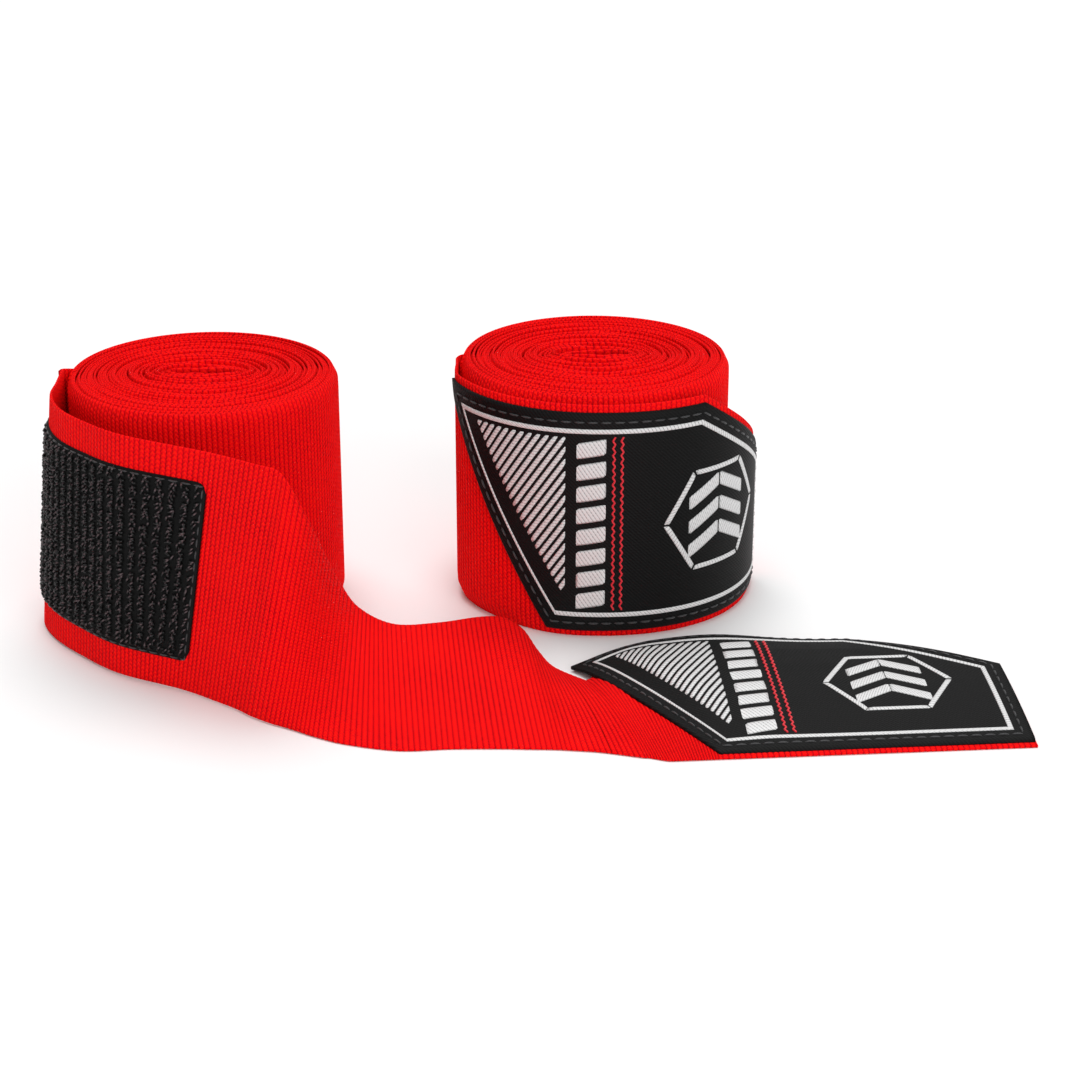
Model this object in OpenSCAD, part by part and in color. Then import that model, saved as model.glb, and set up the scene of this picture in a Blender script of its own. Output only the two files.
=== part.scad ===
// Pair of elastic hand wraps: one wound roll closed with its label flap,
// one roll partly unrolled so its hook patch and label end can be seen.
// Origin: centre of the unrolled coil on the table. +Z up, +X along the pair.

/* [Strap] */
// Length of one strap when laid out flat
strap_length = 4570; // [3000:10:5500]
// Width of the strap (a 2 inch wrap)
strap_width = 50.8; // [40:0.1:64]
// Thickness of the knitted strap
strap_thickness = 0.5; // [0.35:0.01:0.7]
// Air left between two turns of a wound coil
wind_gap = 0.03; // [0.02:0.01:0.1]
// Half thickness of the folded core that a coil is wound on
core_radius = 3.4; // [2.5:0.1:6]
// How much longer than wide a wound coil is
coil_oval = 0.8; // [0:0.1:3]
// Flats drawn around one turn of a coil
turn_flats = 20; // [16:2:30]

/* [Label] */
// Length of the woven label from tip to end
label_length = 86.5; // [70:0.5:110]
// Length of the slanted edge measured along the strap
label_slant = 27; // [15:0.5:35]
// Where the cut corner starts, measured from the tip
label_cut_start = 59.4; // [50:0.5:75]
// How far the cut corner comes down the end
label_cut_depth = 18.5; // [10:0.5:32]
// Thickness of the woven label
label_thickness = 0.6; // [0.4:0.05:0.8]
// Red strap left showing around the label
label_margin = 1.3; // [0.5:0.1:2]
// Strap showing above the label, mm
label_top_gap = 2.3; // [1:0.1:4]
// Gap kept between a sewn piece and what it lies on, mm
skin_gap = 0.08; // [0.05:0.01:0.2]
// Distance of the white border from the label's edge
border_inset = 3.3; // [3:0.1:5]
// Width of the white border line
border_width = 1; // [0.6:0.1:1.6]
// Number of diagonal stripes in the triangle
hatch_count = 16; // [8:1:24]
// Outer size of the badge
badge_size = 25.6; // [20:0.5:32]

/* [Hook patch] */
// Length of the hook patch along the strap
hook_length = 58; // [30:0.5:60]
// Height of the hook tape (a 1.5 inch tape)
hook_width = 38.1; // [30:0.1:40]
// Thickness of the hook tape's backing
hook_backing = 0.5; // [0.4:0.05:0.8]
// Height of the hooks above the backing
hook_height = 1.1; // [0.8:0.05:1.4]
// Number of hook rows along the patch
hook_rows = 16; // [10:1:24]

/* [Thumb loop] */
// Width of the thumb loop tape
loop_width = 20; // [15:0.5:25]
// Thickness of the thumb loop tape
loop_thickness = 0.8; // [0.6:0.05:1]

/* [Layout] */
// Clear space between the two coils
roll_space = 24.4; // [20:0.5:40]
// How far the closed roll stands behind the unrolled one
roll_setback = 11; // [0:0.5:20]
// Gap left where the label end bends, and beside a flap
part_gap = 0.4; // [0.3:0.05:0.6]

/* [Hidden] */
w = strap_width;
t = strap_thickness;
pitch = t + wind_gap;
tail_length = 228;
flap_length = 112;
loop_gap = 0.35;
r_open = sqrt((strap_length - tail_length) * pitch / PI + core_radius * core_radius);
r_closed = sqrt((strap_length - flap_length) * pitch / PI + core_radius * core_radius);
k = r_open / 27.3;
kw = w / 50.8;
closed_at = [r_open + r_closed + coil_oval + roll_space, roll_setback, 0];
red = [0.94, 0.03, 0.06];
black = [0.05, 0.05, 0.05];
white = [0.87, 0.87, 0.86];

// Route of the unrolled strap: foot of the strap (x, y, in mm for the standard
// coil) and the offset from the foot to the upper or far edge (for the
// standard width).
route = [
  [-29.1, -0.3, 0.6, 0, 50.8], [-33, -6.4, 4.6, -0.6, 50.5], [-33.4, -13.2, 5.2, -1.4, 50.5],
  [-29.8, -21, 4.6, -1.6, 50.5], [-23.6, -28.5, 4.2, -1.4, 50.5], [-14.5, -37.1, 4.2, -1.3, 50.7],
  [-1.2, -44.3, 7.6, -1.7, 50.2], [7, -50.2, 9.1, -1.4, 49.9], [10.8, -53.2, 9.6, -0.4, 49.4],
  [13.7, -56, 9.1, 1.6, 46.4], [17.4, -58.8, 7.7, 8.4, 39.1], [21.5, -61.2, 5, 20.1, 29.6],
  [26.7, -64.6, 1.6, 36.2, 17.2], [32.9, -67.6, -1.2, 46.6, 7.2], [42.7, -70, -3.8, 48.7, 3.4],
  [52.2, -69.3, -4.1, 48.4, 3.5], [61.6, -69.2, -5.1, 49.8, 4.1], [66.9, -69.4, -5.6, 49.4, 4.2],
  [71, -69.5, -5.9, 45.7, 3.5], [75, -69.9, -6.9, 39, 2.1], [80.4, -70.7, -9.1, 34.4, 0.9],
  [88, -72.8, -10.4, 31.5, 0.3]];
route_last = len(route) - 1;

function cr(a, b, c, d, f) = 0.5 * ((2 * b) + (c - a) * f + (2 * a - 5 * b + 4 * c - d) * f * f
  + (3 * b - a - 3 * c + d) * f * f * f);
function at(u) = let(i = max(0, min(route_last - 1, floor(u))), f = u - i)
  cr(route[max(0, i - 1)], route[i], route[i + 1], route[min(route_last, i + 2)], f);
function ease(x) = let(c = max(0, min(1, x))) c * c * (3 - 2 * c);
function unit(a) = a / norm(a);

// Upper edge lifts into a low arch where the strap narrows toward the label.
function arch(u) = 5 * ease((u - 17) / 3);
// Point on the middle of the unrolled strap: u along the route, s from 0 to 1 across.
function strap_mid(u, s) = let(r = at(u))
  [r[0] * k + r[2] * kw * s, r[1] * k + r[3] * kw * s,
   r[4] * kw * s + t / 2 + arch(u) * 4 * s * (1 - s)];
function strap_normal(u, s) = let(e = 0.02,
  a = strap_mid(min(route_last, u + e), s) - strap_mid(max(0, u - e), s),
  b = strap_mid(u, min(1, s + e)) - strap_mid(u, max(0, s - e))) unit(cross(a, b));
function strap_point(u, s, n) = strap_mid(u, s) + strap_normal(u, s) * n;

// Label end: lies on the table from the bend onward, turned by end_heading.
end_heading = 4.7;
end_root = [route[route_last][0] * k, route[route_last][1] * k, 0];
end_foot = end_root + [13.9, 0.7, 0];
end_u = [cos(end_heading), sin(end_heading), 0];
end_v = [-sin(end_heading), cos(end_heading), 0];
label_w = w - label_margin - label_top_gap;
// Point on the label end: u along from the label tip, v across, z height.
function end_point(u, v, z) = let(g = pow(max(0, 1 - max(0, u) / 20), 1.6) * v / label_w)
  end_foot + end_u * (u - label_slant + 3 * g) + end_v * (v - 8 * g) + [0, 0, z];

// Closed flap: runs round the front of the closed coil from its left side.
function flap_radius(a) = r_closed + part_gap + t / 2
  + (hook_backing + hook_height + 0.1) * ease((a - 4) / 20) + 2.7 * ease((a - 85) / 75);
flap_tip = 9.1;
// Angle round the coil for a length along the flap (one turn is 360 degrees).
function flap_angle(l) = l <= 40 ? l * 180 / (PI * (r_closed + 1.6)) :
  flap_angle(40) + (l - 40) * 180 / (PI * (r_closed + 3.1));
function flap_point(l, z, n) = let(a = flap_angle(l), r = flap_radius(a) + n)
  [-cos(a) * (r + coil_oval / 2), -sin(a) * r, z];

// Closed body made from a list of rings, each with the same number of corners.
module loft(rings) {
  n = len(rings[0]);
  m = len(rings);
  polyhedron(
    points = [for (r = rings) for (p = r) p],
    faces = concat(
      [[for (j = [0 : n - 1]) j]],
      [for (i = [0 : m - 2]) for (j = [0 : n - 1]) for (h = [0, 1]) h == 0 ?
        [i * n + j, (i + 1) * n + j, (i + 1) * n + (j + 1) % n] :
        [i * n + j, (i + 1) * n + (j + 1) % n, i * n + (j + 1) % n]],
      [[for (j = [n - 1 : -1 : 0]) (m - 1) * n + j]]),
    convexity = 6);
}

// Spiral band of constant thickness wound from radius a to radius b.
function spiral(r0, turns, n, off) = [for (i = [0 : n]) let(q = i * turns / n,
  r = r0 + off + pitch * q, g = 180 + 360 * q)
  [cos(g) * (r + coil_oval / 2), sin(g) * (r - coil_oval / 2)]];
module coil(radius) {
  turns = floor((radius - core_radius - t) / pitch);
  r0 = radius - t - turns * pitch;
  n = turns * turn_flats;
  inner = spiral(r0, turns, n, 0);
  outer = spiral(r0, turns, n, t);
  linear_extrude(height = w) polygon(concat(inner, [for (i = [n : -1 : 0]) outer[i]]));
}

// Folded thumb loop tucked into the core of a coil.
module thumb_loop() {
  a = core_radius - t - loop_gap - 0.35;
  translate([0, 0, (w - loop_width) / 2]) linear_extrude(height = loop_width) difference() {
    hull() for (x = [-1, 1]) translate([x * coil_oval / 2, 0]) circle(r = a, $fn = 32);
    hull() for (x = [-1, 1]) translate([x * coil_oval / 2, 0]) circle(r = a - loop_thickness, $fn = 32);
  }
}

// Outline of the label: lower and upper limit across the strap at length u,
// pulled in by the inset i.
function cut_line(u) = label_w - max(0, u - label_cut_start) * label_cut_depth / (label_length - label_cut_start);
slant_len = sqrt(label_slant * label_slant + label_w * label_w);
cut_len = sqrt(pow(label_length - label_cut_start, 2) + pow(label_cut_depth, 2));
function low(u, i) = max(i, label_w - (u - i * slant_len / label_w) * label_w / label_slant);
function high(u, i) = min(label_w - i,
  cut_line(u) - (u > label_cut_start - 4 ? i * cut_len / (label_length - label_cut_start) : i));
function tip(i) = i * slant_len / label_w + i * label_slant / label_w;
function last(i) = label_length - i;
// Lengths at which the outline has a corner, with a few more between.
function steps(a, b, n) = [for (j = [0 : n]) a + (b - a) * j / n];
function stops(i) = concat(steps(tip(i) + 0.3, label_slant * (1 - i / label_w) + i * slant_len / label_w, 9),
  steps(label_slant * (1 - i / label_w) + i * slant_len / label_w + 2.6, label_cut_start - 1.5, 11),
  steps(label_cut_start + 0.5, last(i), 9));

// Place a piece of the label: kind 0 lies on the table, kind 1 wraps the coil.
function on_label(kind, u, v, z) = kind == 0 ? end_point(u, v, t + z)
  : flap_point(flap_tip + u, label_margin + v, t / 2 + z);
module band(kind, us, lo, hi, z0, z1)
  loft([for (i = [0 : len(us) - 1]) [
    on_label(kind, us[i], lo[i], z0), on_label(kind, us[i], lo[i], z1),
    on_label(kind, us[i], hi[i], z1), on_label(kind, us[i], hi[i], z0)]]);
module label_plate(kind) {
  us = stops(0);
  band(kind, us, [for (u = us) low(u, 0)], [for (u = us) max(high(u, 0), low(u, 0) + 0.3)], skin_gap, skin_gap + label_thickness);
}
lift = label_thickness + 2 * skin_gap;
// Corners of the label's outline pulled in by the inset i.
cut_slope = label_cut_depth / (label_length - label_cut_start);
function corners(i) = [[tip(i), label_w - i],
  [label_slant * (1 - i / label_w) + i * slant_len / label_w, i], [last(i), i], [last(i), high(last(i), i)],
  [label_cut_start - i * (sqrt(1 + cut_slope * cut_slope) - 1) / cut_slope, label_w - i]];
function ring(i) = let(c = corners(i), counts = [10, 21, 3, 10, 21])
  [for (j = [0 : 4]) for (f = [0 : counts[j] - 1]) c[j] + (c[(j + 1) % 5] - c[j]) * f / counts[j]];
// Closed line that follows the label's outline at inset i.
module outline_line(kind, i, width, z1) {
  a = ring(i);
  b = ring(i + width);
  m = len(a);
  polyhedron(
    points = [for (j = [0 : m - 1]) for (q = [[a[j], lift], [a[j], z1], [b[j], z1], [b[j], lift]])
      on_label(kind, q[0][0], q[0][1], q[1])],
    faces = [for (i = [0 : m - 1]) for (j = [0 : 3]) for (h = [0, 1]) let(k1 = (i + 1) % m, j1 = (j + 1) % 4)
      h == 0 ? [i * 4 + j, k1 * 4 + j, k1 * 4 + j1] : [i * 4 + j, k1 * 4 + j1, i * 4 + j1]],
    convexity = 6);
}
// Diagonal stripes filling the triangle beside the slanted edge.
module hatch(kind) {
  top = label_w - border_inset - border_width - 0.9;
  right = label_slant + 3.8;
  side = border_inset + border_width + 2.7;
  for (j = [0 : hatch_count - 1]) {
    x = right - 0.6 - j * (right - 12) / hatch_count;
    floor_v = low(x, side);
    if (top - floor_v > 1.5) {
      v0 = floor_v;
      v1 = top;
      band(kind, [x - 0.42, x + 0.42], [low(x - 0.42, side), v0], [v1, v1], lift, lift + 0.25);
    }
  }
}
// Column of plain blocks beside the triangle.
module blocks(kind) {
  for (j = [0 : 7]) let(v0 = 5.4 + j * 4.65)
    band(kind, [label_slant + 5.8, label_slant + 8.9, label_slant + 12], [v0, v0, v0], [v0 + 3.5, v0 + 3.5, v0 + 3.5],
      lift, lift + 0.25);
}
// Six-sided badge outline with three chevrons inside it.
badge_at = [63, 22.5];
function badge_corner(j, r) = badge_at + [cos(j * 60) * r, sin(j * 60) * r * 0.98];
// Straight raised bar from edge a-d to edge b-c, in short lengths so it follows the roll.
module bar(kind, a, b, c, d, n)
  loft([for (f = [0 : n]) let(p = a + (b - a) * f / n, q = d + (c - d) * f / n)
    [on_label(kind, p[0], p[1], lift), on_label(kind, p[0], p[1], lift + 0.25),
      on_label(kind, q[0], q[1], lift + 0.25), on_label(kind, q[0], q[1], lift)]]);
module badge(kind) {
  r = badge_size / 2;
  for (j = [0 : 5]) {
    a = badge_corner(j, r);
    b = badge_corner(j + 1, r);
    c = badge_corner(j + 1, r - 1.2);
    d = badge_corner(j, r - 1.2);
    bar(kind, a, b + (a - b) * 0.02, c + (d - c) * 0.02, d, 5);
  }
  for (j = [0 : 2]) for (m = [-1, 1]) {
    y0 = badge_at[1] - 6.6 + j * 4.8;
    e = [badge_at[0] + m * 7, y0];
    f = [badge_at[0] + m * 0.1, y0 + 3.4];
    up = [0, 2.4];
    if (m < 0) bar(kind, e, f, f + up, e + up, 3);
    else bar(kind, f, e, e + up, f + up, 3);
  }
}
module border_line(kind) outline_line(kind, border_inset, border_width, lift + 0.2);
module stripes(kind) {
  hatch(kind);
  blocks(kind);
}
// Two fine stitched lines across the label.
module red_lines(kind) {
  for (x = [label_slant + 13, label_slant + 14.6])
    band(kind, [x, x + 0.6], [border_inset + 1.5, border_inset + 1.5],
      [label_w - border_inset - 1.5, label_w - border_inset - 1.5], lift, lift + 0.3);
}

// Hook tape on a route: f(u, v, n) gives a point, us its stations.
module hook_body(rings_low, rings_high) {
  loft([for (i = [0 : len(rings_low) - 1]) [rings_low[i][0], rings_high[i][0], rings_high[i][1], rings_low[i][1]]]);
}
hook_v0 = (w - hook_width) / 2;
hook_us = steps(0.75, 6.25, 22);
module open_tape(n0, n1, v0, v1, us)
  loft([for (u = us) [strap_point(u, v0 / w, n0), strap_point(u, v0 / w, n1),
    strap_point(u, v1 / w, n1), strap_point(u, v1 / w, n0)]]);
hook_start = flap_tip + 7;
hook_span = hook_length;
function pad_point(l, z, n) = let(a = l * 180 / (PI * r_closed), r = r_closed + n)
  [-cos(a) * (r + coil_oval / 2), -sin(a) * (r - coil_oval / 2), z];
module closed_tape(n0, n1, v0, v1, ls)
  loft([for (l = ls) [pad_point(l, v0, n0), pad_point(l, v0, n1), pad_point(l, v1, n1), pad_point(l, v1, n0)]]);

module open_coil() color(red) coil(r_open);
module open_thumb_loop() color(black) thumb_loop();
module open_tail_strap() color(red) loft([for (u = steps(0, route_last - 0.0, 84))
  concat([for (s = [0 : 4]) strap_point(u, s / 4, -t / 2)], [for (s = [4 : -1 : 0]) strap_point(u, s / 4, t / 2)])]);
module open_hook_backing() color(black) open_tape(t / 2 + 0.02, t / 2 + hook_backing, hook_v0, w - hook_v0, hook_us);
module open_hooks() color([0.1, 0.1, 0.1]) for (j = [0 : hook_rows - 1]) {
  a = 0.85 + j * 5.35 / hook_rows;
  open_tape(t / 2 + hook_backing + 0.02, t / 2 + hook_backing + hook_height,
    hook_v0 + 1, w - hook_v0 - 1, steps(a, a + 3.6 / hook_rows, 2));
}
module open_hook_stitching() color(black) for (v = [hook_v0 + 0.3, w - hook_v0 - 0.7])
  open_tape(t / 2 + hook_backing + 0.02, t / 2 + hook_backing + 0.2, v, v + 0.4, hook_us);

// The strap under the label, cut to the label's outline with a small margin.
// It starts at the bend beside the tail and follows the label's tip.
bend_low = end_root + [part_gap, 0, 0];
bend_high = bend_low + [route[route_last][2] * kw, route[route_last][3] * kw, 0];
function end_low(q) = q < 0 ? bend_low :
  end_foot + end_u * (max(q, label_slant - 11 * (1 - ease(q / 36))) - label_slant) - end_v * label_margin;
function end_high(q) = q < 0 ? bend_high : end_point(q,
  min(w - label_margin, cut_line(q) + label_margin * cut_len / (label_length - label_cut_start)), 0);
module end_strap() {
  qs = concat([-1], steps(2, 26, 12), steps(30, label_cut_start, 6), steps(label_cut_start + 3, label_length + label_margin, 5));
  loft([for (q = qs) let(a = end_low(q), b = end_high(q))
    [a + [0, 0, 0.05], b + [0, 0, 0.05], b + [0, 0, t], a + [0, 0, t]]]);
}

module open_end_strap() color(red) end_strap();
module open_label() color(black) label_plate(0);
module open_label_stitching() color([0.1, 0.1, 0.1]) outline_line(0, 1.8, 0.5, lift + 0.2);
module open_label_border() color(white) border_line(0);
module open_label_stripes() color(white) stripes(0);
module open_label_badge() color(white) badge(0);
module open_red_stitching() color(red) red_lines(0);

module closed_coil() color(red) translate(closed_at) coil(r_closed);
module closed_thumb_loop() color(black) translate(closed_at) thumb_loop();
module closed_hook_backing() color(black) translate(closed_at)
  closed_tape(0.02, hook_backing, hook_v0, w - hook_v0, steps(hook_start, hook_start + hook_span, 20));
module closed_hooks() color([0.1, 0.1, 0.1]) translate(closed_at) for (j = [0 : hook_rows - 1])
  closed_tape(hook_backing + 0.02, hook_backing + hook_height - 0.1, hook_v0 + 1, w - hook_v0 - 1,
    steps(hook_start + 0.8 + j * (hook_span - 1.6) / hook_rows,
      hook_start + 0.8 + (j + 0.7) * (hook_span - 1.6) / hook_rows, 1));
module closed_flap_strap() color(red) translate(closed_at) {
  ls = steps(0.5, flap_tip + label_length + label_margin, 44);
  loft([for (l = ls) let(u = l - flap_tip, v1 = label_margin
      + min(w - label_margin, cut_line(max(0, u)) + label_margin * cut_len / (label_length - label_cut_start)))
    [flap_point(l, 0, -t / 2), flap_point(l, 0, t / 2), flap_point(l, v1, t / 2), flap_point(l, v1, -t / 2)]]);
}
module closed_label() color(black) translate(closed_at) label_plate(1);
module closed_label_stitching() color([0.1, 0.1, 0.1]) translate(closed_at) outline_line(1, 1.8, 0.5, lift + 0.2);
module closed_label_border() color(white) translate(closed_at) border_line(1);
module closed_label_stripes() color(white) translate(closed_at) stripes(1);
module closed_label_badge() color(white) translate(closed_at) badge(1);
module closed_red_stitching() color(red) translate(closed_at) red_lines(1);

open_coil();
open_thumb_loop();
open_tail_strap();
open_hook_backing();
open_hooks();
open_hook_stitching();
open_end_strap();
open_label();
open_label_stitching();
open_label_border();
open_label_stripes();
open_label_badge();
open_red_stitching();
closed_coil();
closed_thumb_loop();
closed_hook_backing();
closed_hooks();
closed_flap_strap();
closed_label();
closed_label_stitching();
closed_label_border();
closed_label_stripes();
closed_label_badge();
closed_red_stitching();
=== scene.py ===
import math
import bpy
import numpy as np
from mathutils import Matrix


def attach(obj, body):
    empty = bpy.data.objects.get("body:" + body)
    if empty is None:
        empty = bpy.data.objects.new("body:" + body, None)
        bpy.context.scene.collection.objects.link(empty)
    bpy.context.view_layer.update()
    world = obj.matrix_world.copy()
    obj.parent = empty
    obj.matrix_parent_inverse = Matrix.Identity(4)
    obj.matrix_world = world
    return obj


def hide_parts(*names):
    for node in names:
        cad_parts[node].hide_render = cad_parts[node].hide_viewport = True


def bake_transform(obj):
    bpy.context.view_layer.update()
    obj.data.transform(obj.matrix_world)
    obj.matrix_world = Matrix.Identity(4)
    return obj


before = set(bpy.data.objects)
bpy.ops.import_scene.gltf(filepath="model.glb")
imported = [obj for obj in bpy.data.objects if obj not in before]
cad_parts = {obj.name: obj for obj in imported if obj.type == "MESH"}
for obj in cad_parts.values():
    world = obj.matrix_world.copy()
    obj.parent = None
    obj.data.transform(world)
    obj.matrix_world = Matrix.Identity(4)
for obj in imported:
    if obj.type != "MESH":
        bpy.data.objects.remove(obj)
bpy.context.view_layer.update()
print("stage: frame loaded")

# Every length is in millimetres until buildPiece turns it to metres, and every angle is in degrees.
strap = dict(width=50.8, thick=0.5, length=4570,  # stock strap, 2 by 180 inches
             ribPitch=1.05, ribDepth=0.15,        # one rib of the knit, and how far it stands out
             ribSteps=6,                          # stations along one rib
             stitchPitch=0.95,                    # from loop to loop along a rib
             selvedge=1.6, edgeRound=0.25)        # edge where the ribs fade, and how round it is
layout = dict(looseTail=228.0, looseFlap=112.0,   # what is unwound from the open and the closed wrap
              rollSpace=24.4, setback=11.0)       # closed roll beside the open one, and farther back

w, t = strap["width"], strap["thick"]
ribStep = strap["ribPitch"] / strap["ribSteps"]


# mesh building
def smooth(x):
    # soft step: three times c squared less twice c cubed, with c held between 0 and 1
    c = np.clip(x, 0, 1)
    return c * c * (3 - 2 * c)


def buildPiece(name, points, uv, material, closeAlong=False):
    # points is (tubes, stations, section, 3): each section is a closed loop, four neighbours make a
    # face, and both ends are capped unless the tube closes on itself. The sum of a . (b x c) over
    # the faces is positive where they point outwards, otherwise every face is turned round.
    k, nu, nv, _ = points.shape
    base = (np.arange(k) * nu * nv)[:, None, None]
    rows = np.arange(nu if closeAlong else nu - 1)
    i = rows[None, :, None]
    j = np.arange(nv)[None, None, :]
    i2, j2 = (i + 1) % nu, (j + 1) % nv
    quads = np.stack([base + i * nv + j, base + i2 * nv + j, base + i2 * nv + j2, base + i * nv + j2], -1)
    quads = quads.reshape(-1, 4)
    flat = points.reshape(-1, 3)
    loops, starts = quads.ravel(), np.arange(len(quads)) * 4
    if not closeAlong:
        first = base[:, 0] + np.arange(nv)[None, :]
        last = base[:, 0] + (nu - 1) * nv + np.arange(nv)[None, ::-1]
        caps = np.concatenate([first, last])
        starts = np.concatenate([starts, len(loops) + np.arange(len(caps)) * nv])
        loops = np.concatenate([loops, caps.ravel()])
    a, b, c, d = (flat[quads[:, q]] for q in range(4))
    volume = (a * np.cross(b, c)).sum() + (a * np.cross(c, d)).sum()
    if volume < 0:
        ends = np.append(starts[1:], len(loops))
        size = ends - starts
        loops = loops[np.repeat(starts + ends - 1, size) - np.arange(len(loops))]
    mesh = bpy.data.meshes.new(name)
    mesh.vertices.add(len(flat))
    mesh.vertices.foreach_set("co", (flat * 0.001).astype(np.float32).ravel())
    mesh.loops.add(len(loops))
    mesh.loops.foreach_set("vertex_index", loops.astype(np.int32))
    mesh.polygons.add(len(starts))
    mesh.polygons.foreach_set("loop_start", starts.astype(np.int32))
    layer = mesh.uv_layers.new(name="flat")
    layer.data.foreach_set("uv", (uv.reshape(-1, 2)[loops] * 0.001).astype(np.float32).ravel())
    mesh.polygons.foreach_set("use_smooth", np.ones(len(starts), bool))
    mesh.update(calc_edges=True)
    mesh.validate()
    mesh.materials.append(material)
    piece = bpy.data.objects.new(name, mesh)
    bpy.context.scene.collection.objects.link(piece)
    return piece


def loopSection(outerCount, innerCount):
    # the strap's section as a loop: the outer face from 0 to the width, round the edge, the inner face
    # back, round the edge. The outer points are 0.65 even and 0.35 half a cosine, so they crowd at the
    # edges. side is +1 on the outer face and -1 on the inner one.
    o = 0.5 - 0.5 * np.cos(np.linspace(0.12, math.pi - 0.12, outerCount))
    o = (o - o[0]) / (o[-1] - o[0]) * 0.35 + np.linspace(0, 1, outerCount) * 0.65
    i = np.linspace(1, 0, innerCount)
    inset = strap["edgeRound"]
    across = np.concatenate([o * (w - 2 * inset) + inset, [w], i * (w - 2 * inset) + inset, [0]])
    side = np.concatenate([np.ones(outerCount), [0], -np.ones(innerCount), [0]])
    return across, side


def ribLift(length, across):
    # round ribs with sharp grooves between them: the depth times |sin(pi length / pitch)| to the power
    # 0.8 less 0.6, and only 0.35 of it at the selvedges
    wave = np.abs(np.sin(math.pi * length / strap["ribPitch"])) ** 0.8 - 0.6
    edge = smooth(across / strap["selvedge"]) * smooth((w - across) / strap["selvedge"])
    return strap["ribDepth"] * wave * (0.35 + 0.65 * edge)


def sweepStrap(name, surface, lengths, section, thick=t, ribShare=None):
    # carries the section along the lengths: surface(length, across, out) places each point, and out is
    # half the thickness plus the ribs' lift, times the share of the ribs that shows there
    across, side = section
    ll, aa = np.meshgrid(lengths, across, indexing="ij")
    ss = np.broadcast_to(side, ll.shape)
    lift = ss * ribLift(ll, aa)
    if ribShare:
        lift = lift * ribShare(ll, ss)
    pts = surface(ll, aa, ss * thick / 2 + lift)
    return buildPiece(name, pts[None], np.stack([ll, aa], -1)[None], redKnit)


# colours and materials
def linear(hexColour):
    # sRGB to linear: c / 12.92 when dark, otherwise ((c + 0.055) / 1.055) to the power 2.4
    c = np.array([int(hexColour[i:i + 2], 16) for i in (1, 3, 5)]) / 255
    c = np.where(c <= 0.04045, c / 12.92, ((c + 0.055) / 1.055) ** 2.4)
    return (*c.tolist(), 1.0)


def newMaterial(name, **sockets):
    m = bpy.data.materials.new(name)
    m.use_nodes = True
    shader = m.node_tree.nodes["Principled BSDF"]
    for key, value in sockets.items():
        shader.inputs[key.replace("_", " ")].default_value = value
    return m, m.node_tree, shader


def add(tree, kind, *values, stops=(), **settings):
    # adds a node: values fill its inputs in order and names fill inputs or settings, where a socket is
    # linked and anything else is set; stops are a ramp's places and colours
    node = tree.nodes.new("ShaderNode" + kind)
    named = [key for key in settings if key in node.inputs]
    for key, value in [*enumerate(values), *((key, settings[key]) for key in named)]:
        if isinstance(value, bpy.types.NodeSocket):
            tree.links.new(value, node.inputs[key])
        else:
            node.inputs[key].default_value = value
    for key in settings:
        if key not in named:
            setattr(node, key, settings[key])
    if stops:
        while len(node.color_ramp.elements) < len(stops):
            node.color_ramp.elements.new(0.5)
        for element, (at, colour) in zip(node.color_ramp.elements, stops):
            element.position, element.color = at, linear(colour)
    return node.outputs[0]


def flatAxes(tree):
    # the piece's own flat coordinates, along and across it, in metres
    uv = add(tree, "UVMap", uv_map="flat")
    parts = add(tree, "SeparateXYZ", uv).node.outputs
    return uv, parts[0], parts[1]


def wave(tree, value, factor):
    # |sin(value times factor)|: round ridges with sharp grooves
    phase = add(tree, "Math", value, factor, operation="MULTIPLY")
    sine = add(tree, "Math", phase, operation="SINE")
    return add(tree, "Math", sine, operation="ABSOLUTE")


def intoShader(tree, shader, tone, stops, relief=None, strength=0, distance=0):
    # the tone coloured by the stops, and the relief as bumps of that distance in metres
    tree.links.new(add(tree, "ValToRGB", tone, stops=stops), shader.inputs["Base Color"])
    if relief:
        normal = add(tree, "Bump", Strength=strength, Distance=distance, Height=relief)
        tree.links.new(normal, shader.inputs["Normal"])


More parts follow.
